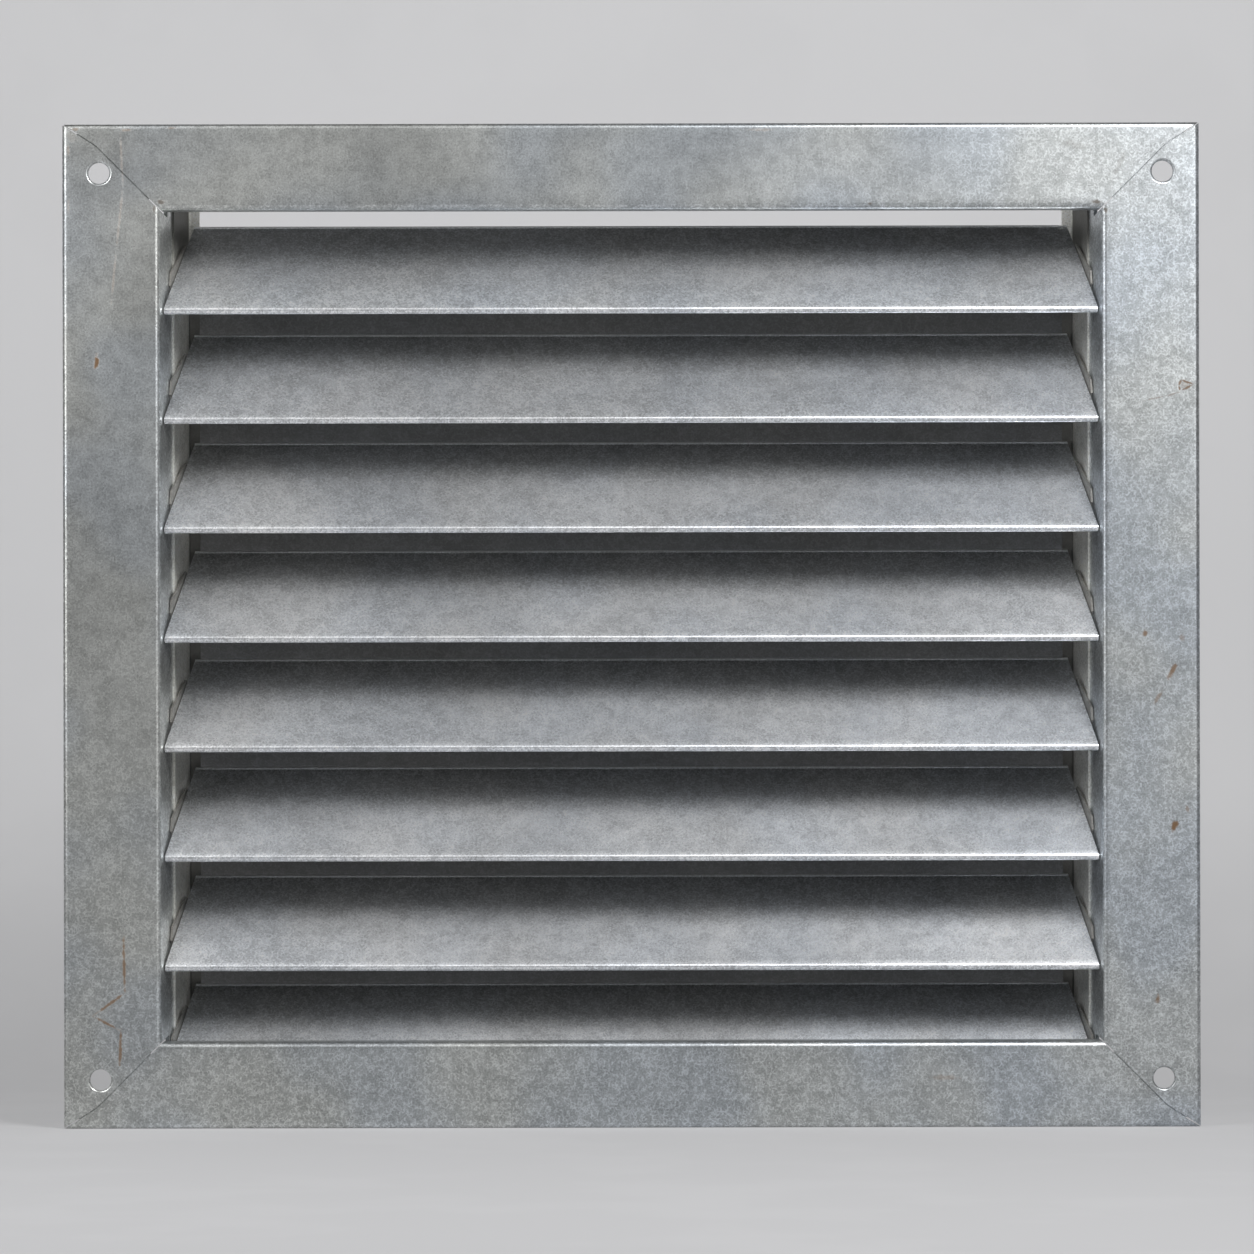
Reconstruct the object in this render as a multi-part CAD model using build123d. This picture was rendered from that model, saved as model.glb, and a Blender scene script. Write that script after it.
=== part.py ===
from build123d import *
import os
from math import cos, floor, isclose, radians, sin, tan

# Return air grille: a mitred frame of folded sheet, two side strips and a stack of inverted-V blades
# held to them by angle clips.
# Millimetres. X runs across, Z up and Y back into the duct. Depths are drawn from the front face of
# the flange, and the finished pieces move so that the origin is the middle of the four screw holes
# on the back face of the flange.

# Frame members
FRAME_WIDTH = 300.0
FRAME_HEIGHT = 265.0
FRAME_SHEET = 1.0
STILE_FLANGE = 24.3
RAIL_FLANGE = 21.1
RETURN_DEPTH = 6.0
OUTER_BEND = 1.3
INNER_BEND = 1.6
RAIL_NECK_DEPTH = 8.0
STILE_NECK_DEPTH = 16.0
NECK_SPLAY = 11.0
MITRE_GAP = 0.3
MITRE_RUN = 15.4

# Screw holes in the stiles
HOLE_RADIUS = 2.8
HOLE_RIM_ROUND = 0.65
HOLE_INSET_X = 9.7
HOLE_INSET_Z = 12.9

# Corner plates behind the mitres
PLATE_SHEET = 1.0
PLATE_LEG = 38.0
PLATE_MARGIN = 1.5

# Side strips that carry the blades
CARRIER_SHEET = 0.5
CARRIER_FRONT = 13.0
CARRIER_REAR = 29.0
CARRIER_FLANGE = 3.1
CARRIER_BEND = 0.9
CARRIER_RISE = 5.0

# Blades
BLADE_SHEET = 0.7
BLADE_PITCH = 28.95
BLADE_SLOPE = 46.0
BLADE_REAR_SLOPE = 65.0
BLADE_FRONT_LEG = 33.3
BLADE_REAR_LEG = 36.0
RIDGE_BEND = 1.5
HEM_DEPTH = 5.0
LIP_SETBACK = 2.8
TOP_GAP = 3.3
SILL_RISE = 6.0
FLANGE_GAP = 0.4
END_TAPER = 16.75

# Angle clips that join the blade ends to the side strips
CLIP_SHEET = 0.5
CLIP_LEG = 6.0
CLIP_START = 9.0
CLIP_PEAK = 12.0
CLIP_END = 24.5
CLIP_RISE = 2.4
CLIP_TIP_RISE = 0.4
CLIP_GAP = 0.25
WELD_GAP = 0.05

# Places worked out from the sizes above
HALF_WIDTH = FRAME_WIDTH / 2
HALF_HEIGHT = FRAME_HEIGHT / 2
SPLAY = radians(NECK_SPLAY)
TAPER = radians(END_TAPER)
STILE_CORNER = STILE_FLANGE + INNER_BEND * tan((radians(90) - SPLAY) / 2)
RAIL_CORNER = RAIL_FLANGE + INNER_BEND
OPENING_TOP = HALF_HEIGHT - RAIL_CORNER
HOLE_X = HALF_WIDTH - HOLE_INSET_X
HOLE_Z = HALF_HEIGHT - HOLE_INSET_Z
REACH = 2 * (FRAME_WIDTH + FRAME_HEIGHT)


def half_width_at(depth):
    """Half the clear width between the stile necks at a depth behind the flange."""
    return HALF_WIDTH - STILE_CORNER - depth * tan(SPLAY)


def taper_half_width_at(depth):
    """Half the width at a depth between tapered planes through the front edges of the side strips."""
    front_edge = half_width_at(CARRIER_FRONT) - CARRIER_SHEET / cos(SPLAY)
    return front_edge - (depth - CARRIER_FRONT) * tan(TAPER)


def bent_sheet(points, bends, thickness):
    """Section of bent sheet: one skin follows the points, the other lies to their left."""
    skin = Wire(FilletPolyline(*points, radius=bends).edges())
    return Face(skin.offset_2d(thickness, side=Side.LEFT))


def bar_along_x(profile):
    """Long bar along X from a section drawn as depth, height."""
    section = Plane.YZ * profile
    return extrude(section, REACH / 2, both=True)


def mitre_region(half_long, half_short, long_flange, short_flange):
    """Part of the front plane that belongs to a member lying along the top: x along it, z up."""
    inner = Vector(half_long - long_flange, half_short - short_flange)
    kink = inner + Vector(MITRE_RUN, MITRE_RUN)
    corner = Vector(half_long, half_short)
    beyond = corner + (corner - kink).normalized() * MITRE_RUN
    deep = inner - Vector(MITRE_RUN, MITRE_RUN)
    right_side = [beyond, kink, inner, deep]
    left_side = [Vector(-p.X, p.Y) for p in reversed(right_side)]
    outline = Face(Wire.make_polygon(right_side + left_side))
    trimmed = offset(outline, -MITRE_GAP / 2, kind=Kind.INTERSECTION)
    return extrude(Plane.XZ * trimmed, REACH / 2, both=True)


def frame_member(half_long, half_short, flange, end_flange, neck_corner, neck_depth, splay):
    """Folded member lying along the top edge, mitred as deep as the rail necks and square behind them."""
    skin = [
        (RETURN_DEPTH, half_short),
        (0, half_short),
        (0, half_short - neck_corner),
        (neck_depth, half_short - neck_corner - neck_depth * tan(splay)),
    ]
    bar = bar_along_x(bent_sheet(skin, [OUTER_BEND, INNER_BEND], FRAME_SHEET))
    behind_rails = Pos(0, RAIL_NECK_DEPTH + MITRE_GAP + REACH / 2, 0)
    tails = behind_rails * Box(2 * (OPENING_TOP + CARRIER_RISE), REACH, REACH)
    return bar & (mitre_region(half_long, half_short, end_flange, flange) + tails)


def screw_holes():
    """Bores for the four screws, long enough for the flange and the plate behind it."""
    places = [Location((sx * HOLE_X, 0, sz * HOLE_Z), (90, 0, 0)) for sx in (-1, 1) for sz in (-1, 1)]
    return [place * Cylinder(HOLE_RADIUS, REACH) for place in places]


def rounded_hole_rims(stile):
    """Stile with the front rim of each screw hole rolled inward."""
    arcs = stile.edges().filter_by(GeomType.CIRCLE)
    rims = arcs.filter_by(lambda arc: isclose(arc.radius, HOLE_RADIUS))
    return fillet(rims.group_by(Axis.Y)[0], HOLE_RIM_ROUND)


def rails():
    """Top and bottom rails."""
    top = frame_member(
        HALF_WIDTH, HALF_HEIGHT, RAIL_FLANGE, STILE_FLANGE, RAIL_CORNER, RAIL_NECK_DEPTH, 0
    )
    return {"frame_top": top, "frame_bottom": Rot(0, 180, 0) * top}


def stiles():
    """Left and right stiles with their screw holes."""
    lying = frame_member(
        HALF_HEIGHT, HALF_WIDTH, STILE_FLANGE, RAIL_FLANGE, STILE_CORNER, STILE_NECK_DEPTH, SPLAY
    )
    made = {}
    for node, turn in (("frame_left", -90), ("frame_right", 90)):
        made[node] = rounded_hole_rims(Rot(0, turn, 0) * lying - screw_holes())
    return made


def corner_plates():
    """Flat angle plates behind the four mitres, drilled with the stiles."""
    outer = FRAME_SHEET + PLATE_MARGIN
    reach_x = HALF_WIDTH - outer
    reach_z = HALF_HEIGHT - outer
    inner_x = HALF_WIDTH - STILE_FLANGE + PLATE_MARGIN
    inner_z = HALF_HEIGHT - RAIL_FLANGE + PLATE_MARGIN
    end_x = HALF_WIDTH - PLATE_LEG
    end_z = HALF_HEIGHT - PLATE_LEG
    outline = Polyline(
        (reach_x, reach_z), (end_x, reach_z), (end_x, inner_z), (inner_x, inner_z),
        (inner_x, end_z), (reach_x, end_z), close=True,
    )
    blank = extrude(Plane.XZ * make_face(outline), -PLATE_SHEET)
    plate = Pos(0, FRAME_SHEET, 0) * blank
    made = {}
    number = 0
    for flip_x in (True, False):
        for flip_z in (False, True):
            placed = plate.mirror(Plane.YZ) if flip_x else plate
            placed = placed.mirror(Plane.XY) if flip_z else placed
            number += 1
            made[f"corner_plate_{number}"] = placed - screw_holes()
    return made


def carriers():
    """Side strips lapped inside the stile necks, with a flange turned in at the back."""
    height = OPENING_TOP + CARRIER_RISE
    skin = [
        (half_width_at(CARRIER_FRONT), CARRIER_FRONT),
        (half_width_at(CARRIER_REAR), CARRIER_REAR),
        (half_width_at(CARRIER_REAR) - CARRIER_FLANGE, CARRIER_REAR),
    ]
    right = extrude(bent_sheet(skin, [CARRIER_BEND], CARRIER_SHEET), height, both=True)
    return {"carrier_left": right.mirror(Plane.YZ), "carrier_right": right}


def blade_section():
    """Blade section drawn as depth, height from the middle of the rolled lip."""
    slope = radians(BLADE_SLOPE)
    rear_slope = radians(BLADE_REAR_SLOPE)
    along = Vector(cos(slope), sin(slope))
    up = Vector(-sin(slope), cos(slope))
    fall = Vector(cos(rear_slope), -sin(rear_slope))
    lip = up * BLADE_SHEET
    ridge = lip + along * BLADE_FRONT_LEG
    skin = [ridge + fall * BLADE_REAR_LEG, ridge, lip]
    sheet = bent_sheet(skin, [RIDGE_BEND], BLADE_SHEET)
    fold_end = along * HEM_DEPTH
    hem = Face(Wire.make_polygon([Vector(0, 0), fold_end, fold_end - lip, lip * -1]))
    nose = Face(Wire.make_circle(BLADE_SHEET))
    return sheet + hem + nose


def clip_wall_section():
    """Upright leg of a clip seen along the blade, low at both tips, placed as the blade section is."""
    low = -CLIP_SHEET
    tip = BLADE_SHEET + CLIP_TIP_RISE
    peak = BLADE_SHEET + CLIP_RISE
    outline = [(CLIP_START, low), (CLIP_END, low), (CLIP_END, tip), (CLIP_PEAK, peak), (CLIP_START, tip)]
    return Rot(0, 0, BLADE_SLOPE) * Face(Wire.make_polygon(outline))


def clip_leg_section():
    """Leg of a clip under the blade, behind the hem."""
    front = max(CLIP_START, HEM_DEPTH + CLIP_GAP)
    outline = [(front, 0), (front, -CLIP_SHEET), (CLIP_END, -CLIP_SHEET), (CLIP_END, 0)]
    return Rot(0, 0, BLADE_SLOPE) * Face(Wire.make_polygon(outline))


def tapered_room(inset):
    """Block between the tapered planes less an inset each side, in front of the flanges of the strips."""
    depth = CARRIER_REAR - CARRIER_SHEET - FLANGE_GAP
    front = taper_half_width_at(0) - inset
    back = taper_half_width_at(depth) - inset
    plan = Face(Wire.make_polygon([(-front, 0), (front, 0), (back, depth), (-back, depth)]))
    return extrude(plan, REACH, both=True)


def blade_room():
    """Block that one blade may fill: tapered in front, notched for the flanges of the strips, wide behind."""
    strips = half_width_at(CARRIER_REAR)
    notched = Pos(0, REACH / 2, 0) * Box(2 * (strips - CARRIER_FLANGE - FLANGE_GAP), REACH, REACH)
    behind = Pos(0, CARRIER_REAR + FLANGE_GAP + REACH / 2, 0) * Box(2 * strips, REACH, REACH)
    return tapered_room(WELD_GAP + CLIP_SHEET / cos(TAPER) + CLIP_GAP) + notched + behind


def neck_room():
    """Block inside the rail necks, and behind them as high as their outer faces."""
    behind_rails = Pos(0, RAIL_NECK_DEPTH + FLANGE_GAP + REACH / 2, 0)
    inside = Box(REACH, REACH, 2 * OPENING_TOP)
    return inside + behind_rails * Box(REACH, REACH, 2 * (OPENING_TOP + FRAME_SHEET))


def lip_to_ridge():
    """Rise from the middle of the rolled lip to the top of the rounded ridge."""
    slope = radians(BLADE_SLOPE)
    rear_slope = radians(BLADE_REAR_SLOPE)
    rounding = RIDGE_BEND * (cos((slope - rear_slope) / 2) / cos((slope + rear_slope) / 2) - 1)
    return BLADE_SHEET * cos(slope) + BLADE_FRONT_LEG * sin(slope) - rounding


def blade_places():
    """Middle of the rolled lip of each blade, from the top down."""
    top_lip = OPENING_TOP - TOP_GAP - lip_to_ridge()
    drop = 2 * OPENING_TOP - TOP_GAP - SILL_RISE
    count = floor(drop / BLADE_PITCH) + 1
    return [Pos(0, LIP_SETBACK + BLADE_SHEET, top_lip - step * BLADE_PITCH) for step in range(count)]


def blades():
    """Stack of blades, the lowest cut off level with the neck."""
    blank = bar_along_x(blade_section()) & blade_room().moved(blade_places()[0].inverse())
    inside = neck_room()
    return {f"blade_{i}": place * blank & inside for i, place in enumerate(blade_places(), 1)}


def clips():
    """Pair of angle clips for each blade, the lowest cut off with their blade."""
    walls = tapered_room(WELD_GAP) - tapered_room(WELD_GAP + CLIP_SHEET / cos(TAPER))
    legs = tapered_room(WELD_GAP) - tapered_room(WELD_GAP + CLIP_LEG)
    right = Pos(REACH / 2, 0, 0) * Box(REACH, REACH, REACH)
    wall_bar = bar_along_x(clip_wall_section())
    leg_bar = bar_along_x(clip_leg_section())
    inside = neck_room()
    made = {}
    for number, place in enumerate(blade_places(), 1):
        pair = ((place * wall_bar & walls) + (place * leg_bar & legs)) & inside
        made[f"clip_right_{number}"] = pair & right
        made[f"clip_left_{number}"] = (pair & right).mirror(Plane.YZ)
    return made


pieces = {**rails(), **stiles(), **corner_plates(), **carriers(), **blades(), **clips()}
os.makedirs("parts", exist_ok=True)
for node, shape in pieces.items():
    export_step(Pos(0, -FRAME_SHEET, 0) * shape, f"parts/{node}.step")
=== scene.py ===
import math

import bmesh
import bpy
from mathutils import Matrix, Vector, noise


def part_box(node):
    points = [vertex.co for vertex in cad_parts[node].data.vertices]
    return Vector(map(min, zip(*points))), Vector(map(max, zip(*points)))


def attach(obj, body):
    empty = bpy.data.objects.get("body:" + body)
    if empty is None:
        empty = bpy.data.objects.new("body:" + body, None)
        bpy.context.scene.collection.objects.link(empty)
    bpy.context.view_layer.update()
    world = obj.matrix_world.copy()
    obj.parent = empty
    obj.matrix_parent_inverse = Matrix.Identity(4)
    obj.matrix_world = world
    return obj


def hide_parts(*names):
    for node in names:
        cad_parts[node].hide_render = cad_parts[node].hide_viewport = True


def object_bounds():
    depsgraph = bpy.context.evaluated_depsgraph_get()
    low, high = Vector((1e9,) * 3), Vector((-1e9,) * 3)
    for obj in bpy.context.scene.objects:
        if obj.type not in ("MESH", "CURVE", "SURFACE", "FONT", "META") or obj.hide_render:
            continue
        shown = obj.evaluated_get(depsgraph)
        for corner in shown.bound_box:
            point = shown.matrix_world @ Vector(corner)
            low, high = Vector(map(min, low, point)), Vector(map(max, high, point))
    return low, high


# Galvanised return air grille: finish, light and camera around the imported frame. Metres throughout.
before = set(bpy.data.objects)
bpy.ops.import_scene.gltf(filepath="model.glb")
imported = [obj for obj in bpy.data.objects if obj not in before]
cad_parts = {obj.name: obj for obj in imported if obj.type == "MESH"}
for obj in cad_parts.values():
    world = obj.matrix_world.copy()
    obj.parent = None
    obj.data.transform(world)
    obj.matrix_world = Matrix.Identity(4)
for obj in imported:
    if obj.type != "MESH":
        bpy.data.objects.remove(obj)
cad_low, cad_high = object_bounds()
scene = bpy.context.scene

MM = 0.001

# Sheet sizes, the same as in the frame
FRAME_SHEET = 1.0 * MM
STILE_FLANGE = 24.3 * MM
RAIL_FLANGE = 21.1 * MM
RETURN_DEPTH = 6.0 * MM
OUTER_BEND = 1.3 * MM
INNER_BEND = 1.6 * MM
RAIL_NECK_DEPTH = 8.0 * MM
STILE_NECK_DEPTH = 16.0 * MM
NECK_SPLAY = math.radians(11.0)
MITRE_GAP = 0.3 * MM
MITRE_RUN = 15.4 * MM
HOLE_RADIUS = 2.8 * MM
HOLE_RIM_ROUND = 0.65 * MM
HOLE_INSET_X = 9.7 * MM
HOLE_INSET_Z = 12.9 * MM
CARRIER_SHEET = 0.5 * MM
CARRIER_FRONT = 13.0 * MM
CARRIER_REAR = 29.0 * MM
CARRIER_FLANGE = 3.1 * MM
CARRIER_RISE = 5.0 * MM
BLADE_SHEET = 0.7 * MM
BLADE_SLOPE = math.radians(46.0)
BLADE_REAR_SLOPE = math.radians(65.0)
BLADE_FRONT_LEG = 33.3 * MM
BLADE_REAR_LEG = 36.0 * MM
RIDGE_BEND = 1.5 * MM
HEM_DEPTH = 5.0 * MM
HEM_ROUND = 1.0 * MM
HEM_SHORTER = 0.75 * MM
BEAD_ROUND = 0.5 * MM
LIP_SETBACK = 2.8 * MM
END_TAPER = math.radians(16.75)
CLIP_SHEET = 0.5 * MM
CLIP_GAP = 0.25 * MM
WELD_GAP = 0.05 * MM
FLANGE_GAP = 0.4 * MM

# Sheet that is not quite flat, and how finely it is cut
FLANGE_WAVE = 0.05 * MM
BLADE_WAVE = 0.07 * MM
WAVE_LENGTH = 55.0 * MM
HOLE_CALM = 10.0 * MM
BEND_CALM = 3
SPAN = 1.6 * MM
BEND_STEPS = 10
LONG_STEPS = 90
HOLE_STEPS = 48
PUNCH_DEPTH = 4 * FRAME_SHEET
STEP_NUDGE = 0.001 * MM
HEM_SHARES = (0.35, 0.7, 1.0)
WELD_DISTANCE = 0.002 * MM
SHARP_ANGLE = math.radians(35)
BLADE_SEED = 10

# Camera, from the photograph
PHOTO_SIDE = 1254
PHOTO_SCALE = 0.26374 * MM
PHOTO_MIDDLE = (631.5, 625.5)
CAMERA_DISTANCE = 1.650
CAMERA_ROLL = math.radians(0.12)
SENSOR = 36

# Zinc: pattern sizes, the parts of the noise that are used, and how far they change the sheet
CLOUD_SIZE = 34 * MM
PATCH_SIZE = 4.5 * MM
GRAIN_SIZE = 0.5 * MM
SEED_STEP = (1.0, 0.7, 1.3)
NOISE_MIDDLE = 0.5
NOISE_RANGE = (0.30, 0.70)
GRAIN_RANGE = (0.25, 0.75)
WARM_RANGE = (0.35, 0.65)
LEFT_WARMTH = 0.4
BROAD_SHARE = 0.3
GRAIN_SHARE = 1.5
ROUGH_SWING = 0.02
FLECK_GLOSS = 0.06
BUMP_STRENGTH = 0.25
BUMP_DISTANCE = 0.03 * MM

# Fibres: size, width and seed; breaks in them: size and seed
LONG_FIBRES = (2.2 * MM, 0.060, 3.0)
LONG_BREAKS = (2.0 * MM, 11.0)
SHORT_FIBRES = (1.1 * MM, 0.100, 8.0)
SHORT_BREAKS = (1.3 * MM, 14.0)
BREAK_RANGE = (0.42, 0.60)
SPECK_SIZE = 0.9 * MM
SPECK_RANGE = (0.70, 0.78)

# Stains, painted shade and a painted highlight
STAIN_GRAIN = 1.3 * MM
STAIN_RAGGED = 1.6
STAIN_CORE = 0.35
STAIN_DULL = 0.25
STREAK_SHARE = 0.62
DOWNWARD = (-0.35, -0.05)
# Painted shade also dulls the gloss by this much.
SHADE_DULL = 0.15
# Painted highlight along the blade ridges: its strength here, its near-white tone, and where it lies across
# the ridge.
RIDGE_HIGHLIGHT_SHARE = 0.9
RUST = (0.15, 0.085, 0.04, 1)
PAINTED_HIGHLIGHT_TONE = (0.95, 0.95, 0.94, 1)
RIDGE_DEPTH = 26.1 * MM
RIDGE_HIGHLIGHT_WIDTH = 1.2 * MM
GRIME = (0.09, 0.075, 0.06, 1)
# Painted shade: a dark tone laid into the blades on the faces looking down and deeper in short of the ridge,
# where shade falls.
PAINTED_SHADE_TONE = (0.13, 0.128, 0.12, 1)
SHADE_UNDER = 0.88
SHADE_TOP = 0.40
SHADE_START = 6.0 * MM
SHADE_FULL = 13.0 * MM
SHADE_DEEP = 24.6 * MM
SHADE_END = 25.6 * MM
# Painted shade on the side strips: its strength, the depth where the rear fold starts, and the heights where
# it starts and is full on the web.
STRIP_SHADE = 0.95
STRIP_FOLD = 27.0 * MM
STRIP_SHADE_START = 90.0 * MM
STRIP_SHADE_FULL = 104.0 * MM

# Backdrop of paper
FLOOR_FRONT = -2.0
FLOOR_BACK = 2.0
WALL_DEPTH = 0.30
WALL_TURN = 0.14
WALL_TOP = 0.30
WALL_HALF = 2.0
PAPER_FLOOR = (0.42, 0.42, 0.43, 1)
PAPER_WALL = (0.62, 0.62, 0.63, 1)
PAPER_BLEND = 0.10
PAPER_GLOW = (0.70, 0.70, 0.71, 1)
GLOW_SHARE = 0.4
PAPER_GRAIN = 40 * MM
PAPER_MOTTLE = 0.1
PAPER_ROUGH = 0.9
PAPER_SHINE = 0.2

# Cool and warm tones of the sheets
FRAME_TONES = ((0.40, 0.43, 0.46), (0.46, 0.47, 0.455))
# The blade tones are lighter than the frame's zinc as painted light: they stand in for the light the blades
# catch.
BLADE_LIT_TONES = ((0.63, 0.66, 0.70), (0.69, 0.70, 0.71))
CLIP_TONES = ((0.26, 0.26, 0.25), (0.29, 0.28, 0.26))
CARRIER_TONES = ((0.84, 0.84, 0.80), (0.88, 0.87, 0.81))

# Lamps: place, side and power; and the dim world
LAMPS = {
    "key": ((0.25, -0.40, 0.45), 0.26, 3.7),
    "left": ((-0.40, -0.40, 0.35), 0.25, 1.35),
    "left_high": ((-0.25, -0.20, 0.45), 0.25, 0.25),
    "left_low": ((-0.45, -0.30, 0.10), 0.25, 0.5),
    "front": ((0.30, -0.60, 0.20), 0.25, 0.47),
    "front_low": ((0.30, -0.60, -0.10), 0.25, 0.16),
}
WORLD = (0.02, 0.02, 0.02, 1)

HALF_WIDTH = cad_high.x
HALF_HEIGHT = cad_high.z
FRONT = cad_low.y
STILE_CORNER = STILE_FLANGE + INNER_BEND * math.tan((math.pi / 2 - NECK_SPLAY) / 2)
RAIL_CORNER = RAIL_FLANGE + INNER_BEND
OPENING_TOP = HALF_HEIGHT - RAIL_CORNER
CARRIER_WALL = CARRIER_SHEET / math.cos(NECK_SPLAY)
CLIP_WALL = CLIP_SHEET / math.cos(END_TAPER)


def half_width_at(depth):
    """Half the clear width between the stile necks at a depth behind the flange face."""
    return HALF_WIDTH - STILE_CORNER - depth * math.tan(NECK_SPLAY)


def blade_half_length_at(depth):
    """Half the length of a blade in front of the flanges of the side strips."""
    front = half_width_at(CARRIER_FRONT) - CARRIER_WALL - WELD_GAP - CLIP_WALL - CLIP_GAP
    return front - (depth - CARRIER_FRONT) * math.tan(END_TAPER)


def rounded_path(points, bends):
    """Points of a bent line: straight runs cut every span, corners turned on the given radii."""
    points = [Vector(p) for p in points]
    path = [points[0]]

    def run_to(target):
        start = path[-1]
        count = max(1, math.ceil((target - start).length / SPAN))
        path.extend(start.lerp(target, (i + 1) / count) for i in range(count))

    for before, corner, after, radius in zip(points, points[1:], points[2:], bends):
        back = (before - corner).normalized()
        ahead = (after - corner).normalized()
        half = back.angle(ahead) / 2
        run_to(corner + back * radius / math.tan(half))
        centre = corner + (back + ahead).normalized() * radius / math.sin(half)
        turn = math.copysign(math.pi - 2 * half, ahead.x * back.y - ahead.y * back.x)
        path.extend(arc(path[-1], centre, turn))
    run_to(points[-1])
    return path


def arc(start, centre, turn):
    """Points that follow start round a centre, anticlockwise where the turn is positive."""
    arm = start - centre
    return [centre + Matrix.Rotation(turn * i / BEND_STEPS, 2) @ arm for i in range(1, BEND_STEPS + 1)]


def left_normals(path):
    """Unit normals on the left of a path, one for each point."""
    normals = []
    for i in range(len(path)):
        along = (path[min(i + 1, len(path) - 1)] - path[max(i - 1, 0)]).normalized()
        normals.append(Vector((-along.y, along.x)))
    return normals


def swept_sheet(path, thickness, half_length, wave):
    """Sheet swept along X from a path of depth, height. Each point ends where half_length says."""
    mesh = bmesh.new()
    skins = []
    normals = left_normals(path)
    for side in (0, thickness):
        rows = []
        for point, normal in zip(path, normals):
            end = half_length(point, point + normal * side)
            row = []
            for step in range(LONG_STEPS + 1):
                x = end * (2 * step / LONG_STEPS - 1)
                at = point + normal * (side + wave(x, point))
                row.append(mesh.verts.new((x, at.x, at.y)))
            rows.append(row)
        skins.append(rows)
    outer, inner = skins
    for i in range(len(path) - 1):
        for j in range(LONG_STEPS):
            mesh.faces.new((outer[i][j], outer[i][j + 1], outer[i + 1][j + 1], outer[i + 1][j]))
            mesh.faces.new((inner[i][j], inner[i + 1][j], inner[i + 1][j + 1], inner[i][j + 1]))
        for j in (0, LONG_STEPS):
            mesh.faces.new((outer[i][j], outer[i + 1][j], inner[i + 1][j], inner[i][j]))
    for i in (0, len(path) - 1):
        for j in range(LONG_STEPS):
            mesh.faces.new((outer[i][j], outer[i][j + 1], inner[i][j + 1], inner[i][j]))
    return mesh


def finished(name, mesh):
    """Object from a bmesh, with outward normals, smooth bends and sharp cut edges."""
    bmesh.ops.recalc_face_normals(mesh, faces=mesh.faces)
    data = bpy.data.meshes.new(name)
    mesh.to_mesh(data)
    mesh.free()
    data.shade_smooth()
    data.set_sharp_from_angle(angle=SHARP_ANGLE)
    piece = bpy.data.objects.new(name, data)
    scene.collection.objects.link(piece)
    return piece


def slow_wave(x, across, seed):
    """Smooth value from 0 to 1 that changes over a wave length."""
    value = noise.noise(Vector((x / WAVE_LENGTH, across / WAVE_LENGTH, seed)))
    return min(1.0, max(0.0, 0.5 + 0.5 * value))


def ramp(value, low, high):
    """0 below low, 1 above high, smooth between."""
    share = min(1.0, max(0.0, (value - low) / (high - low)))
    return share * share * (3 - 2 * share)


def mitre_end(half_long, half_short, end_flange, flange):
    """Function that says where a member lying along the top ends: mitred, and square behind the rails."""
    inner = Vector((half_long - end_flange, half_short - flange))
    kink = inner + Vector((MITRE_RUN, MITRE_RUN))
    slope = (half_long - kink.x) / (half_short - kink.y)
    lower_gap = MITRE_GAP / 2 * math.hypot(1, 1)
    upper_gap = MITRE_GAP / 2 * math.hypot(1, slope)

    def end(point, at):
        if behind_rails(point) > 0:
            return OPENING_TOP + CARRIER_RISE
        if at.y > kink.y:
            return kink.x + (at.y - kink.y) * slope - upper_gap
        return inner.x + at.y - inner.y - lower_gap

    return end


def behind_rails(point):
    """Depth of a point behind the rear edges of the rail necks."""
    return point.x - (FRONT + RAIL_NECK_DEPTH + MITRE_GAP)


def frame_member(half_long, half_short, flange, end_flange, neck, seed, holes=()):
    """Folded member lying along the top, mitred at both ends, with a flange that is calm round its holes."""
    corner, depth, splay = neck
    skin = [
        (FRONT + RETURN_DEPTH, half_short),
        (FRONT, half_short),
        (FRONT, half_short - corner),
        (FRONT + depth, half_short - corner - depth * math.tan(splay)),
    ]

    def wave(x, point):
        across = half_short - point.y
        flat = ramp(across, OUTER_BEND, BEND_CALM * OUTER_BEND)
        flat *= 1 - ramp(across, flange - BEND_CALM * INNER_BEND, flange)
        for hole_x, hole_z in holes:
            away = math.hypot(x - hole_x, point.y - hole_z)
            flat *= ramp(away, HOLE_CALM / 2, HOLE_CALM)
        return flat * FLANGE_WAVE * slow_wave(x, point.y, seed)

    path = split_at(rounded_path(skin, [OUTER_BEND, INNER_BEND]), behind_rails)
    return swept_sheet(path, FRAME_SHEET, mitre_end(half_long, half_short, end_flange, flange), wave)


def rail(node, turn, seed):
    """Top or bottom rail."""
    neck = (RAIL_CORNER, RAIL_NECK_DEPTH, 0)
    mesh = frame_member(HALF_WIDTH, HALF_HEIGHT, RAIL_FLANGE, STILE_FLANGE, neck, seed)
    bmesh.ops.rotate(mesh, verts=mesh.verts, matrix=Matrix.Rotation(turn, 3, "Y"))
    return finished(node + "_sheet", mesh)


def stile(node, turn, seed):
    """Left or right stile with two rolled screw holes."""
    neck = (STILE_CORNER, STILE_NECK_DEPTH, NECK_SPLAY)
    across = HALF_WIDTH - HOLE_INSET_X
    holes = [(side * (HALF_HEIGHT - HOLE_INSET_Z), across) for side in (-1, 1)]
    mesh = frame_member(HALF_HEIGHT, HALF_WIDTH, STILE_FLANGE, RAIL_FLANGE, neck, seed, holes)
    blank = finished("blank", mesh)
    for hole_x, hole_z in holes:
        punch(blank, hole_x, hole_z)
    mesh = bmesh.new()
    mesh.from_mesh(blank.data)
    bpy.data.objects.remove(blank)
    for hole_x, hole_z in holes:
        rolled_rim(mesh, hole_x, hole_z)
    bmesh.ops.remove_doubles(mesh, verts=mesh.verts, dist=WELD_DISTANCE)
    bmesh.ops.rotate(mesh, verts=mesh.verts, matrix=Matrix.Rotation(turn, 3, "Y"))
    return finished(node + "_sheet", mesh)


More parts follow.
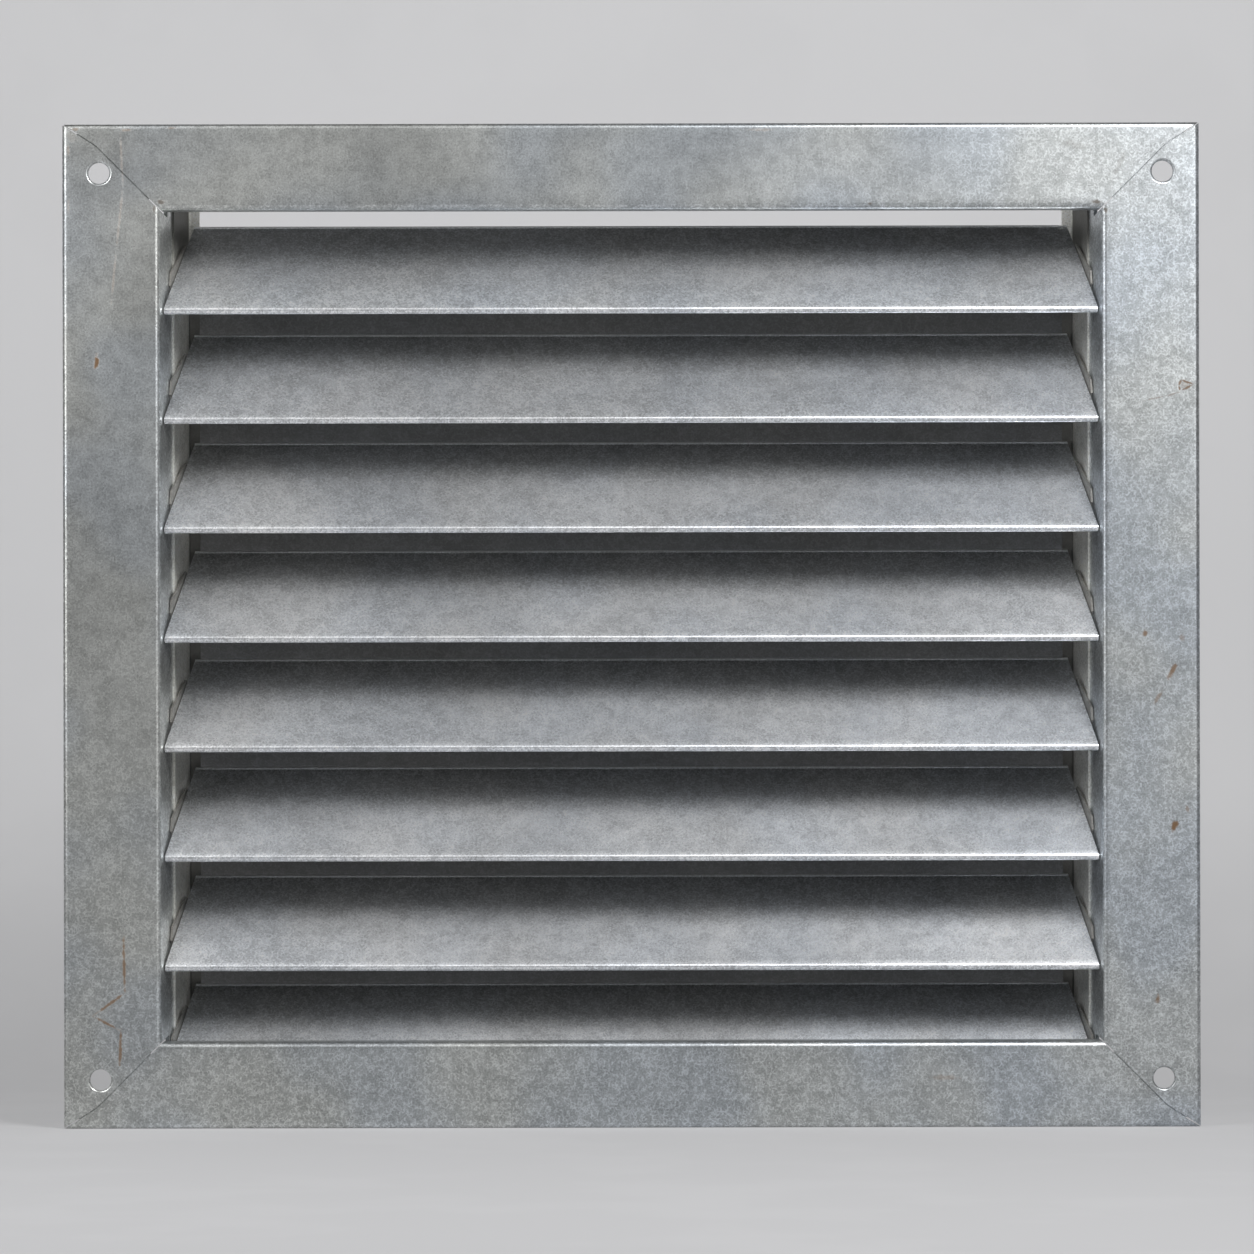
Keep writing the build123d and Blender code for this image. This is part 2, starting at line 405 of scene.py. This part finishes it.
def punch(piece, x, z):
    """Cut a round hole through the flange of a piece, as wide as the rolled rim."""
    mesh = bmesh.new()
    radius = HOLE_RADIUS + HOLE_RIM_ROUND
    place = Matrix.Translation((x, FRONT, z)) @ Matrix.Rotation(math.pi / 2, 4, "X")
    bmesh.ops.create_cone(
        mesh, cap_ends=True, segments=HOLE_STEPS, radius1=radius, radius2=radius,
        depth=PUNCH_DEPTH, matrix=place,
    )
    tool = finished("punch", mesh)
    cut = piece.modifiers.new("punch", "BOOLEAN")
    cut.object = tool
    cut.solver = "EXACT"
    done = bpy.data.meshes.new_from_object(piece.evaluated_get(bpy.context.evaluated_depsgraph_get()))
    piece.modifiers.clear()
    piece.data = done
    bpy.data.objects.remove(tool)


def rolled_rim(mesh, x, z):
    """Add the rolled rim and bore of a screw hole."""
    outer = HOLE_RADIUS + HOLE_RIM_ROUND
    centre = Vector((outer, FRONT + HOLE_RIM_ROUND))
    profile = [Vector((outer, FRONT))] + arc(Vector((outer, FRONT)), centre, -math.pi / 2)
    profile.append(Vector((HOLE_RADIUS, FRONT + FRAME_SHEET)))
    profile.append(Vector((outer, FRONT + FRAME_SHEET)))
    rings = []
    for radius, depth in profile:
        angles = [2 * math.pi * k / HOLE_STEPS for k in range(HOLE_STEPS)]
        places = [(x + radius * math.sin(a), depth, z + radius * math.cos(a)) for a in angles]
        rings.append([mesh.verts.new(place) for place in places])
    for near, far in zip(rings, rings[1:]):
        for k in range(HOLE_STEPS):
            after = (k + 1) % HOLE_STEPS
            mesh.faces.new((near[k], near[after], far[after], far[k]))


def split_at(path, beyond):
    """Path with two points wherever beyond changes sign, so that its ends can step there."""
    split = [path[0]]
    for before, after in zip(path, path[1:]):
        start, end = beyond(before), beyond(after)
        if start * end < 0:
            crossing = before.lerp(after, start / (start - end))
            nudge = (after - before).normalized() * STEP_NUDGE
            split += [crossing - nudge, crossing + nudge]
        split.append(after)
    return split


def beaded(path):
    """Blade path with a fine half-round bead on the front of its ridge."""
    top = max(range(len(path)), key=lambda i: path[i].y)
    crest = path[top]
    bead = arc(crest + Vector((BEAD_ROUND, 0)), crest, math.pi)
    before = [p for p in path[:top] if p.x > crest.x + BEAD_ROUND]
    after = [p for p in path[top:] if p.x < crest.x - BEAD_ROUND]
    return before + [crest + Vector((BEAD_ROUND, 0))] + bead + after


def blade(node, seed):
    """Inverted-V blade with a hem rolled under its lip, tapered at its ends."""
    low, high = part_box(node)
    along = Vector((math.cos(BLADE_SLOPE), math.sin(BLADE_SLOPE)))
    up = Vector((-along.y, along.x))
    fall = Vector((math.cos(BLADE_REAR_SLOPE), -math.sin(BLADE_REAR_SLOPE)))
    half_turn = (BLADE_SLOPE + BLADE_REAR_SLOPE) / 2
    half_lean = (BLADE_SLOPE - BLADE_REAR_SLOPE) / 2
    rounding = RIDGE_BEND * (math.cos(half_lean) / math.cos(half_turn) - 1)
    ridge_depth = FRONT + LIP_SETBACK + BLADE_SHEET * (1 - along.y) + BLADE_FRONT_LEG * along.x
    ridge = Vector((ridge_depth, high.z + rounding))
    lip = ridge - along * BLADE_FRONT_LEG
    tail = ridge + fall * BLADE_REAR_LEG
    whole = lip.y > low.z
    if not whole:
        drop = ridge.y - low.z - BLADE_SHEET
        lip = ridge - along * drop / along.y
        tail = ridge - fall * drop / fall.y
    lip_middle = lip - up * BLADE_SHEET
    if whole:
        lip = lip + along * HEM_SHORTER
    path = beaded(rounded_path([tail, ridge, lip], [RIDGE_BEND]))
    if whole:
        path += arc(lip, lip - up * HEM_ROUND, math.pi)
        fold_end = lip_middle + along * HEM_DEPTH - up * BLADE_SHEET
        path += [path[-1].lerp(fold_end, share) for share in HEM_SHARES]

    def behind_taper(point):
        return point.x - (FRONT + CARRIER_REAR - CARRIER_SHEET - FLANGE_GAP)

    def behind_notch(point):
        return point.x - (FRONT + CARRIER_REAR + FLANGE_GAP)

    for beyond in (behind_taper, behind_notch):
        path = split_at(path, beyond)
    strips = half_width_at(CARRIER_REAR)

    def half_length(point, _):
        if behind_taper(point) < 0:
            return blade_half_length_at(point.x - FRONT)
        return strips if behind_notch(point) > 0 else strips - CARRIER_FLANGE - FLANGE_GAP

    def wave(x, point):
        return BLADE_WAVE * (slow_wave(x, point.x, seed) - 0.5)

    mesh = swept_sheet(path, BLADE_SHEET, half_length, wave)
    return finished(node + "_sheet", mesh)


class Shader:
    """Node material that is built up from sockets."""

    def __init__(self, name):
        self.material = bpy.data.materials.new(name)
        self.material.use_nodes = True
        self.tree = self.material.node_tree
        self.surface = self.tree.nodes["Principled BSDF"]
        self.place = self.node("ShaderNodeTexCoord").outputs["Object"]

    def node(self, kind, settings=(), **inputs):
        """New node; an input is a constant or the socket that feeds it."""
        made = self.tree.nodes.new(kind)
        for name, value in dict(settings).items():
            setattr(made, name, value)
        for name, value in inputs.items():
            self.feed(made.inputs[name], value)
        return made

    def feed(self, socket, value):
        """Set a socket to a constant or link it."""
        if isinstance(value, bpy.types.NodeSocket):
            self.tree.links.new(value, socket)
        else:
            socket.default_value = value

    def sum(self, kind, first, second=0.0):
        """Arithmetic on two values."""
        made = self.node("ShaderNodeMath", {"operation": kind})
        self.feed(made.inputs[0], first)
        self.feed(made.inputs[1], second)
        return made.outputs[0]

    def noise(self, size, detail, seed=0.0):
        """Cloud pattern with features of a size, as a value and a colour."""
        moved = self.node("ShaderNodeVectorMath", {"operation": "ADD"})
        self.feed(moved.inputs[0], self.place)
        self.feed(moved.inputs[1], tuple(seed * share for share in SEED_STEP))
        made = self.node("ShaderNodeTexNoise", Vector=moved.outputs[0], Scale=1 / size, Detail=detail)
        return made.outputs[0], made.outputs[1]

    def part_of_place(self, axis):
        """One coordinate of the place on the piece."""
        return self.node("ShaderNodeSeparateXYZ", Vector=self.place).outputs[axis]

    def spread(self, value, low, high, start=0.0, end=1.0):
        """Value from low to high laid smoothly over start to end."""
        made = self.node("ShaderNodeMapRange", {"interpolation_type": "SMOOTHSTEP"}, Value=value)
        for name, number in (("From Min", low), ("From Max", high), ("To Min", start), ("To Max", end)):
            made.inputs[name].default_value = number
        return made.outputs[0]

    def tint(self, share, below, above):
        """Colour from below to above by a share."""
        made = self.node("ShaderNodeMix", {"data_type": "RGBA"})
        self.feed(made.inputs[0], share)
        self.feed(made.inputs[6], below)
        self.feed(made.inputs[7], above)
        return made.outputs[2]


def photo_place(px, py):
    """Place on the flange face that shows at a pixel of the photograph."""
    return (px - PHOTO_MIDDLE[0]) * PHOTO_SCALE, (PHOTO_MIDDLE[1] - py) * PHOTO_SCALE


def spot_mask(shader, spot, ragged):
    """Mask of one stain: an ellipse with a ragged edge."""
    px, py, half_wide, half_high, turn, strength = spot
    x, z = photo_place(px, py)
    local = shader.node("ShaderNodeMapping", {"vector_type": "TEXTURE"}, Vector=shader.place)
    local.inputs["Location"].default_value = (x, 0, z)
    local.inputs["Rotation"].default_value = (0, math.radians(turn), 0)
    local.inputs["Scale"].default_value = (half_wide, 1, half_high)
    away = shader.node("ShaderNodeVectorMath", {"operation": "LENGTH"}, Vector=local.outputs[0])
    edge = shader.sum("ADD", away.outputs["Value"], ragged)
    return shader.spread(edge, STAIN_CORE, 1.0, strength, 0.0)


def stain_mask(shader, spots, ragged):
    """Mask of all the stains of one kind."""
    mask = spot_mask(shader, spots[0], ragged)
    for spot in spots[1:]:
        mask = shader.sum("MAXIMUM", mask, spot_mask(shader, spot, ragged))
    return mask


def streak(points, half_wide, strength):
    """Stains along a broken line of pixels."""
    spots = []
    for (ax, ay), (bx, by) in zip(points, points[1:]):
        half_high = STREAK_SHARE * math.hypot(bx - ax, by - ay) * PHOTO_SCALE
        turn = math.degrees(math.atan2(bx - ax, ay - by))
        spots.append(((ax + bx) / 2, (ay + by) / 2, half_wide, half_high, turn, strength))
    return spots


def filaments(shader, size, width, seed):
    """Curled hair lines: where noise passes its middle value."""
    value = shader.noise(size, detail=1.0, seed=seed)[0]
    away = shader.sum("ABSOLUTE", shader.sum("SUBTRACT", value, NOISE_MIDDLE))
    return shader.spread(away, 0.0, width, 1.0, 0.0)


def spangle(shader):
    """Broken curled fibres and bright specks of the zinc, from 0 to 1."""
    long = shader.sum("MULTIPLY", filaments(shader, *LONG_FIBRES), broken(shader, *LONG_BREAKS))
    short = shader.sum("MULTIPLY", filaments(shader, *SHORT_FIBRES), broken(shader, *SHORT_BREAKS))
    specks = shader.spread(shader.noise(SPECK_SIZE, detail=0.0, seed=21.0)[0], *SPECK_RANGE)
    return shader.sum("MAXIMUM", shader.sum("MAXIMUM", long, short), specks)


def broken(shader, size, seed):
    """Mask that leaves parts of a pattern out."""
    return shader.spread(shader.noise(size, detail=0.0, seed=seed)[0], *BREAK_RANGE)


def blade_painted_shade(shader):
    """Mask of painted shade: all over the faces that look down, and deeper in on the others up to the ridge,
    which it leaves out.
    """
    normal = shader.node("ShaderNodeTexCoord").outputs["Normal"]
    facing = shader.node("ShaderNodeSeparateXYZ", Vector=normal).outputs["Z"]
    depth = shader.part_of_place("Y")
    under = shader.spread(facing, *DOWNWARD, SHADE_UNDER, 0.0)
    under = shader.sum("MULTIPLY", under, shader.spread(depth, FRONT + SHADE_START, FRONT + SHADE_FULL))
    deep = shader.spread(depth, FRONT + SHADE_FULL, FRONT + SHADE_DEEP, 0.0, SHADE_TOP)
    deep = shader.sum("MULTIPLY", deep, shader.spread(depth, FRONT + SHADE_DEEP, FRONT + SHADE_END, 1.0, 0.0))
    return shader.sum("MAXIMUM", under, deep)


def strip_painted_shade(shader):
    """Mask of painted shade on a side strip: on the rear flange, and in the gap over the blades on the web
    instead.
    """
    rear = shader.spread(shader.part_of_place("Y"), FRONT + STRIP_FOLD, FRONT + CARRIER_REAR - CARRIER_SHEET)
    high = shader.spread(shader.part_of_place("Z"), STRIP_SHADE_START, STRIP_SHADE_FULL)
    either = shader.sum("ABSOLUTE", shader.sum("SUBTRACT", rear, high))
    return shader.sum("MULTIPLY", either, STRIP_SHADE)


def ridge_painted_highlight(shader):
    """Mask of the fold along the ridge, where a painted highlight goes."""
    depth = shader.part_of_place("Y")
    away = shader.sum("ABSOLUTE", shader.sum("SUBTRACT", depth, FRONT + RIDGE_DEPTH))
    return shader.spread(away, RIDGE_HIGHLIGHT_WIDTH / 2, RIDGE_HIGHLIGHT_WIDTH, RIDGE_HIGHLIGHT_SHARE, 0.0)


def galvanised(name, tones, metal, rough, fleck, cloud, spots=None, shade_mask=None, highlight_mask=None):
    """Zinc coated sheet: cool and warm clouds, fine grain, broken pale fibres, stains if it has any, and
    painted shade and a painted highlight where masks for them are given.
    """
    shader = Shader(name)
    broad = shader.node("ShaderNodeSeparateColor", Color=shader.noise(CLOUD_SIZE, detail=1.0)[1])
    patches = shader.noise(PATCH_SIZE, detail=2.0, seed=2.0)[0]
    grain = shader.noise(GRAIN_SIZE, detail=0.0, seed=5.0)[0]
    flecks = spangle(shader)
    slow = BROAD_SHARE * cloud
    sharp = GRAIN_SHARE * cloud
    level = shader.spread(broad.outputs[0], *NOISE_RANGE, 1 - slow, 1 + slow)
    level = shader.sum("ADD", level, shader.spread(patches, *NOISE_RANGE, -cloud, cloud))
    level = shader.sum("ADD", level, shader.spread(grain, *GRAIN_RANGE, -sharp, sharp))
    level = shader.sum("ADD", level, shader.sum("MULTIPLY", flecks, fleck))
    across = shader.part_of_place("X")
    warmth = shader.spread(broad.outputs[1], *WARM_RANGE, 0.0, 1 - LEFT_WARMTH)
    warmth = shader.sum("ADD", warmth, shader.spread(across, -HALF_WIDTH, HALF_WIDTH, LEFT_WARMTH, 0.0))
    made = shader.node("ShaderNodeVectorMath", {"operation": "SCALE"})
    shader.feed(made.inputs[0], shader.tint(warmth, (*tones[0], 1), (*tones[1], 1)))
    shader.feed(made.inputs["Scale"], level)
    colour = made.outputs[0]
    gloss = shader.spread(broad.outputs[2], *NOISE_RANGE, rough + ROUGH_SWING, rough - ROUGH_SWING)
    gloss = shader.sum("SUBTRACT", gloss, shader.sum("MULTIPLY", flecks, FLECK_GLOSS))
    shader.surface.inputs["Metallic"].default_value = metal
    if spots:
        ragged = shader.sum("SUBTRACT", shader.noise(STAIN_GRAIN, detail=3.0)[0], NOISE_MIDDLE)
        ragged = shader.sum("MULTIPLY", ragged, STAIN_RAGGED)
        rust = stain_mask(shader, spots["rust"], ragged)
        grime = stain_mask(shader, spots["grime"], ragged)
        colour = shader.tint(grime, colour, GRIME)
        colour = shader.tint(rust, colour, RUST)
        marked = shader.sum("MAXIMUM", rust, grime)
        gloss = shader.sum("ADD", gloss, shader.sum("MULTIPLY", marked, STAIN_DULL))
        bare = shader.sum("SUBTRACT", 1.0, marked)
        shader.feed(shader.surface.inputs["Metallic"], shader.sum("MULTIPLY", bare, metal))
    # Painted shade: the mask darkens the colour towards a dark tone and dulls the gloss, where shade falls.
    if shade_mask:
        painted_shade = shade_mask(shader)
        colour = shader.tint(painted_shade, colour, PAINTED_SHADE_TONE)
        gloss = shader.sum("ADD", gloss, shader.sum("MULTIPLY", painted_shade, SHADE_DULL))
    # Painted highlight: the mask lightens the colour towards a near-white tone.
    if highlight_mask:
        colour = shader.tint(highlight_mask(shader), colour, PAINTED_HIGHLIGHT_TONE)
    shader.feed(shader.surface.inputs["Base Color"], colour)
    shader.feed(shader.surface.inputs["Roughness"], gloss)
    bump = shader.node("ShaderNodeBump", Strength=BUMP_STRENGTH, Distance=BUMP_DISTANCE, Height=grain)
    shader.feed(shader.surface.inputs["Normal"], bump.outputs[0])
    return shader.material


# Stains: pixel x and y in the photograph, half width, half height, turn in degrees, strength
DRIP = ((121, 128), (124, 185), (117, 250), (112, 300))
POINTED_MARK = ((1182, 381), (1194, 385.5), (1181, 392), (1179, 387), (1182, 381))
MARK_TRAIL = ((1180, 393), (1167, 397), (1147, 401))
ZIG_ZAG = ((123, 936), (124, 992), (92, 1015), (120, 1030), (119, 1068))
SPOTS = {
    "rust": [
        (97, 360, 0.9 * MM, 2.4 * MM, 5, 1.0),
        (1186, 387, 1.6 * MM, 1.2 * MM, 0, 0.35),
        (1172, 672, 0.9 * MM, 3.2 * MM, 30, 0.9),
        (1174, 827, 1.1 * MM, 1.9 * MM, 25, 1.0),
        (1157, 1000, 0.9 * MM, 1.4 * MM, 0, 0.9),
        (1145, 634, 0.9 * MM, 1.2 * MM, 20, 0.9),
        (1182, 639, 1.0 * MM, 1.2 * MM, 0, 0.5),
        (1158, 698, 0.7 * MM, 2.4 * MM, 30, 0.6),
        (1187, 810, 0.7 * MM, 1.6 * MM, -20, 0.6),
        (945, 1078, 5.0 * MM, 1.0 * MM, 4, 0.45),
        (760, 130, 5.0 * MM, 0.6 * MM, 0, 0.4),
        (77, 128, 1.4 * MM, 0.5 * MM, 0, 0.6),
        (127, 129, 1.8 * MM, 0.5 * MM, 0, 0.6),
        (174, 127, 1.6 * MM, 0.4 * MM, 0, 0.5),
        (69, 150, 0.5 * MM, 1.8 * MM, 0, 0.5),
        (69, 205, 0.5 * MM, 2.4 * MM, 0, 0.4),
        *streak(POINTED_MARK, 0.40 * MM, 0.9),
        *streak(MARK_TRAIL, 0.30 * MM, 0.45),
        *streak(DRIP, 0.45 * MM, 0.4),
        *streak(ZIG_ZAG, 0.55 * MM, 0.9),
    ],
    "grime": [
        (871, 204, 0.8 * MM, 0.6 * MM, 0, 0.9),
        (1075, 145, 6.0 * MM, 1.2 * MM, 12, 0.30),
        (1120, 165, 1.0 * MM, 4.5 * MM, 25, 0.35),
        (72, 135, 2.4 * MM, 1.6 * MM, 40, 0.5),
        (1107, 211, 0.7 * MM, 1.6 * MM, 0, 0.9),
        (1098, 203, 1.6 * MM, 0.8 * MM, 0, 0.9),
        (162, 201, 1.4 * MM, 0.8 * MM, 0, 0.9),
        (155, 207, 0.6 * MM, 1.3 * MM, 0, 0.8),
    ],
}


def sweep_backdrop():
    """Pale floor that turns up into a wall close behind the grille, and goes on flat behind the wall."""
    floor_z = cad_low.z
    turn_start = Vector((WALL_DEPTH - WALL_TURN, floor_z))
    points = [Vector((FLOOR_FRONT, floor_z)), turn_start]
    points += arc(turn_start, turn_start + Vector((0, WALL_TURN)), math.pi / 2)
    points.append(Vector((WALL_DEPTH, WALL_TOP)))
    mesh = bmesh.new()
    rows = [[mesh.verts.new((side * WALL_HALF, p.x, p.y)) for side in (-1, 1)] for p in points]
    for before, after in zip(rows, rows[1:]):
        mesh.faces.new((before[0], before[1], after[1], after[0]))
    far = [mesh.verts.new((side * WALL_HALF, FLOOR_BACK, floor_z)) for side in (-1, 1)]
    mesh.faces.new((rows[1][0], rows[1][1], far[1], far[0]))
    data = bpy.data.meshes.new("backdrop")
    mesh.to_mesh(data)
    mesh.free()
    data.shade_smooth()
    backdrop = bpy.data.objects.new("backdrop", data)
    scene.collection.objects.link(backdrop)
    return backdrop


def paper():
    """Matt paper, greyer on the floor: part lit by the lamps, part a plain tone where seen or reflected.

    It is clear from behind, so that the back of the grille can be seen.
    """
    shader = Shader("paper")
    height = shader.part_of_place("Z")
    wall = shader.spread(height, cad_low.z, cad_low.z + PAPER_BLEND)
    grain = shader.noise(PAPER_GRAIN, detail=3.0)[0]
    mottle = shader.spread(grain, *NOISE_RANGE, -PAPER_MOTTLE, PAPER_MOTTLE)
    shade = shader.sum("ADD", wall, mottle)
    shader.feed(shader.surface.inputs["Base Color"], shader.tint(shade, PAPER_FLOOR, PAPER_WALL))
    shader.surface.inputs["Roughness"].default_value = PAPER_ROUGH
    shader.surface.inputs["Specular IOR Level"].default_value = PAPER_SHINE
    glow = shader.node("ShaderNodeEmission", Color=PAPER_GLOW, Strength=1.0)
    ray = shader.node("ShaderNodeLightPath").outputs
    seen = shader.sum("MAXIMUM", ray["Is Camera Ray"], ray["Is Glossy Ray"])
    seen = shader.sum("MAXIMUM", seen, ray["Is Transmission Ray"])
    mix = shader.node("ShaderNodeMixShader", Fac=shader.sum("MULTIPLY", seen, GLOW_SHARE))
    shader.feed(mix.inputs[1], shader.surface.outputs[0])
    shader.feed(mix.inputs[2], glow.outputs[0])
    behind = shader.node("ShaderNodeNewGeometry").outputs["Backfacing"]
    one_sided = shader.node("ShaderNodeMixShader", Fac=behind)
    shader.feed(one_sided.inputs[1], mix.outputs[0])
    shader.feed(one_sided.inputs[2], shader.node("ShaderNodeBsdfTransparent").outputs[0])
    shader.feed(shader.tree.nodes["Material Output"].inputs["Surface"], one_sided.outputs[0])
    return shader.material


def soft_box(name, place, side, power):
    """Square lamp that faces the middle of the grille."""
    data = bpy.data.lights.new(name, "AREA")
    data.shape = "SQUARE"
    data.size = side
    data.energy = power
    lamp = bpy.data.objects.new(name, data)
    scene.collection.objects.link(lamp)
    lamp.location = place
    lamp.rotation_euler = (-Vector(place)).to_track_quat("-Z", "Y").to_euler()


materials = {
    "frame": galvanised(
        "frame_zinc", FRAME_TONES, metal=0.85, rough=0.38, fleck=0.50, cloud=0.11, spots=SPOTS
    ),
    # The blades carry painted shade under the lips and deeper in, and a painted highlight along the ridges.
    "blade": galvanised(
        "blade_zinc", BLADE_LIT_TONES, metal=0.85, rough=0.38, fleck=0.46, cloud=0.11,
        shade_mask=blade_painted_shade, highlight_mask=ridge_painted_highlight,
    ),
    # The side strips carry painted shade on the rear flange and on the web above the top blade.
    "carrier": galvanised(
        "carrier_zinc", CARRIER_TONES, metal=0.8, rough=0.45, fleck=0.20, cloud=0.08, shade_mask=strip_painted_shade
    ),
    "clip": galvanised("clip_zinc", CLIP_TONES, metal=0.7, rough=0.55, fleck=0.20, cloud=0.08),
}
materials["corner"] = materials["frame"]

MEMBERS = {
    "frame_top": (rail, 0.0),
    "frame_bottom": (rail, math.pi),
    "frame_left": (stile, -math.pi / 2),
    "frame_right": (stile, math.pi / 2),
}
for seed, (node, (make, turn)) in enumerate(MEMBERS.items()):
    piece = make(node, turn, seed)
    piece.data.materials.append(materials["frame"])
    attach(piece, "root")
    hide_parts(node)

for name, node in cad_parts.items():
    if name.startswith("blade_"):
        piece = blade(name, BLADE_SEED + int(name.split("_")[1]))
        piece.data.materials.append(materials["blade"])
        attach(piece, "root")
        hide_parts(name)
    elif name not in MEMBERS:
        kind = name.split("_")[0]
        node.data.materials.clear()
        node.data.materials.append(materials[kind])

backdrop = sweep_backdrop()
backdrop.data.materials.append(paper())

for name, (place, side, power) in LAMPS.items():
    soft_box(name, place, side, power)

world = bpy.data.worlds.new("world")
scene.world = world
world.use_nodes = True
world.node_tree.nodes["Background"].inputs["Color"].default_value = WORLD

camera_data = bpy.data.cameras.new("camera")
camera = bpy.data.objects.new("camera", camera_data)
scene.collection.objects.link(camera)
scene.camera = camera
aim_x, aim_z = photo_place(PHOTO_SIDE / 2, PHOTO_SIDE / 2)
camera.location = (aim_x, FRONT - CAMERA_DISTANCE, aim_z)
camera.rotation_euler = (math.pi / 2, CAMERA_ROLL, 0)
camera_data.sensor_width = SENSOR
camera_data.lens = SENSOR * CAMERA_DISTANCE / (PHOTO_SIDE * PHOTO_SCALE)
scene.view_settings.view_transform = "Standard"
